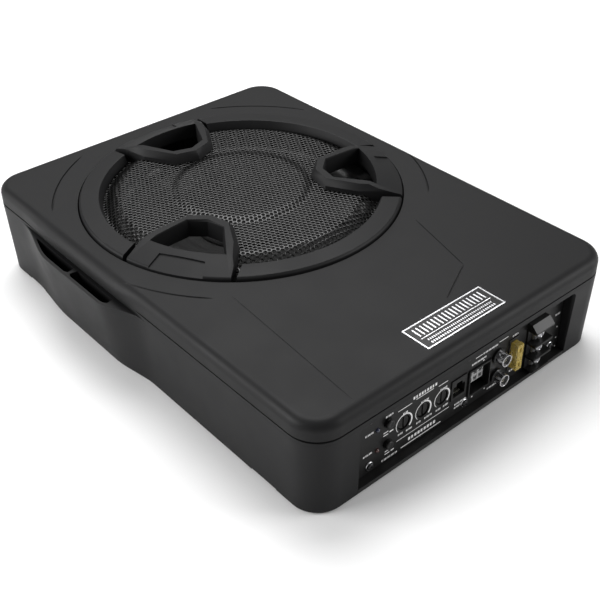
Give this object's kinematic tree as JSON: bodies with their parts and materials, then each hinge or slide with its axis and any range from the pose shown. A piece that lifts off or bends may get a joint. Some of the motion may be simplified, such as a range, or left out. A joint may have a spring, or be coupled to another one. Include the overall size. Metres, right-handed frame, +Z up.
{
  "type": "powered car subwoofer",
  "caption": "Shallow under-seat car bass cabinet with a grilled woofer, side pockets and a recessed control panel that carries knobs, switches, jacks, a blade fuse and screw terminals.",
  "frame": {"origin": "middle of the footprint on the floor", "axes": "+Z up, long axis along Y with the control panel facing -Y, woofer axis along Z"},
  "size_m": [0.272, 0.345, 0.077],
  "materials": {
    "cabinet_paint": "fine sand texture, matt black",
    "plate_paint": "matt black",
    "panel_paint": "satin black with pale print",
    "seal_rubber": "matt",
    "foot_rubber": "matt",
    "zinc_steel": "zinc plated",
    "insert_brass": "turned brass",
    "badge_metal": "brushed frame, black field",
    "grille_steel": "semi-gloss black",
    "basket_steel": "satin black",
    "surround_rubber": "satin",
    "cone_paper": "pressed pulp",
    "former_film": "amber film",
    "copper_wire": "enamelled wire",
    "spider_cloth": "resin treated cloth",
    "ferrite": "sintered",
    "pad_foam": "closed cell foam",
    "tag_board": "phenolic board",
    "control_plastic": "satin moulded",
    "part_plastic": "moulded",
    "pot_case": "moulded",
    "led_blue": "diffused lens",
    "led_red": "diffused lens",
    "socket_plastic": "moulded",
    "contact_tin": "tin plated",
    "jack_nickel": "nickel plated",
    "fuse_amber": "translucent",
    "board_green": "solder mask",
    "sink_aluminium": "extruded",
    "can_sleeve": "shrink sleeve",
    "wire_red": "insulated wire"
  },
  "bodies": {
    "housing": {"top_cover": "cabinet_paint", "side_frame": "cabinet_paint", "base_plate": "plate_paint", "housing_gasket": "seal_rubber", "rubber_feet": "foot_rubber", "case_screws": "zinc_steel", "bracket_inserts": "insert_brass", "badge_plate": "badge_metal", "grille_ring": "cabinet_paint", "grille_mesh": "grille_steel", "grille_screws": "zinc_steel", "woofer_basket": "basket_steel", "woofer_gasket": "seal_rubber", "woofer_screws": "zinc_steel", "surround": "surround_rubber", "spider": "spider_cloth", "top_plate": "zinc_steel", "magnet": "ferrite", "pole_yoke": "zinc_steel", "magnet_pad": "pad_foam", "speaker_terminals": "tag_board", "control_panel": "panel_paint", "panel_screws": "zinc_steel", "pot_bodies": "pot_case", "switch_bodies": "part_plastic", "power_led": "led_blue", "protect_led": "led_red", "remote_socket": "control_plastic", "high_level_socket": "socket_plastic", "high_level_pins": "contact_tin", "rca_block": "control_plastic", "rca_shells": "jack_nickel", "fuse_holder": "control_plastic", "terminal_block": "control_plastic", "terminal_bars": "contact_tin", "circuit_board": "board_green", "board_screws": "zinc_steel", "heat_sink": "sink_aluminium", "power_transistors": "control_plastic", "capacitors": "can_sleeve", "choke": "copper_wire", "speaker_lead": "wire_red"},
    "cone_assembly": {"cone": "cone_paper", "dust_cap": "cone_paper", "coil_former": "former_film", "voice_coil": "copper_wire"},
    "gain_control": {"gain_knob": "control_plastic"},
    "crossover_control": {"crossover_knob": "control_plastic"},
    "boost_control": {"boost_knob": "control_plastic"},
    "phase_switch": {"phase_button": "control_plastic"},
    "input_switch": {"input_button": "control_plastic"},
    "fuse": {"blade_fuse": "fuse_amber"},
    "washer_1": {"clamp_washer_1": "zinc_steel"},
    "screw_1": {"clamp_screw_1": "zinc_steel"},
    "washer_2": {"clamp_washer_2": "zinc_steel"},
    "screw_2": {"clamp_screw_2": "zinc_steel"},
    "washer_3": {"clamp_washer_3": "zinc_steel"},
    "screw_3": {"clamp_screw_3": "zinc_steel"}
  },
  "joints": [
    {"name": "cone_travel", "type": "slide", "parent": "housing", "child": "cone_assembly", "axis": [0, 0, 1], "range_m": [-0.005, 0.005], "stiffness_N_per_m": 3000, "deforming": ["surround", "spider"]},
    {"name": "gain_turn", "type": "hinge", "parent": "housing", "child": "gain_control", "pos_m": [-0.0507, -0.165, 0.026], "axis": [0, -1, 0], "range_deg": [-140, 140]},
    {"name": "crossover_turn", "type": "hinge", "parent": "housing", "child": "crossover_control", "pos_m": [-0.0351, -0.165, 0.026], "axis": [0, -1, 0], "range_deg": [-140, 140]},
    {"name": "boost_turn", "type": "hinge", "parent": "housing", "child": "boost_control", "pos_m": [-0.0194, -0.165, 0.026], "axis": [0, -1, 0], "range_deg": [-140, 140]},
    {"name": "phase_push", "type": "slide", "parent": "housing", "child": "phase_switch", "axis": [0, 1, 0], "range_m": [0, 0.0015], "stiffness_N_per_m": 300},
    {"name": "input_push", "type": "slide", "parent": "housing", "child": "input_switch", "axis": [0, 1, 0], "range_m": [0, 0.0015], "stiffness_N_per_m": 300},
    {"name": "fuse_pull", "type": "slide", "parent": "housing", "child": "fuse", "axis": [0, -1, 0], "range_m": [0, 0.03]},
    {"name": "washer_1_lift", "type": "slide", "parent": "housing", "child": "washer_1", "axis": [0, -1, 0], "range_m": [0, 0.0021]},
    {"name": "screw_1_turn", "type": "hinge", "parent": "washer_1", "child": "screw_1", "pos_m": [0.065, -0.168, 0.0105], "axis": [0, -1, 0], "range_deg": [0, 1080]},
    {"name": "washer_2_lift", "type": "slide", "parent": "housing", "child": "washer_2", "axis": [0, -1, 0], "range_m": [0, 0.0021]},
    {"name": "screw_2_turn", "type": "hinge", "parent": "washer_2", "child": "screw_2", "pos_m": [0.065, -0.168, 0.0208], "axis": [0, -1, 0], "range_deg": [0, 1080]},
    {"name": "washer_3_lift", "type": "slide", "parent": "housing", "child": "washer_3", "axis": [0, -1, 0], "range_m": [0, 0.0021]},
    {"name": "screw_3_turn", "type": "hinge", "parent": "washer_3", "child": "screw_3", "pos_m": [0.065, -0.168, 0.0311], "axis": [0, -1, 0], "range_deg": [0, 1080]}
  ],
  "couplings": [
    {"joint": "screw_1_turn", "follows": "washer_1_lift", "rad_per_m": 8975.9},
    {"joint": "screw_2_turn", "follows": "washer_2_lift", "rad_per_m": 8975.9},
    {"joint": "screw_3_turn", "follows": "washer_3_lift", "rad_per_m": 8975.9}
  ]
}
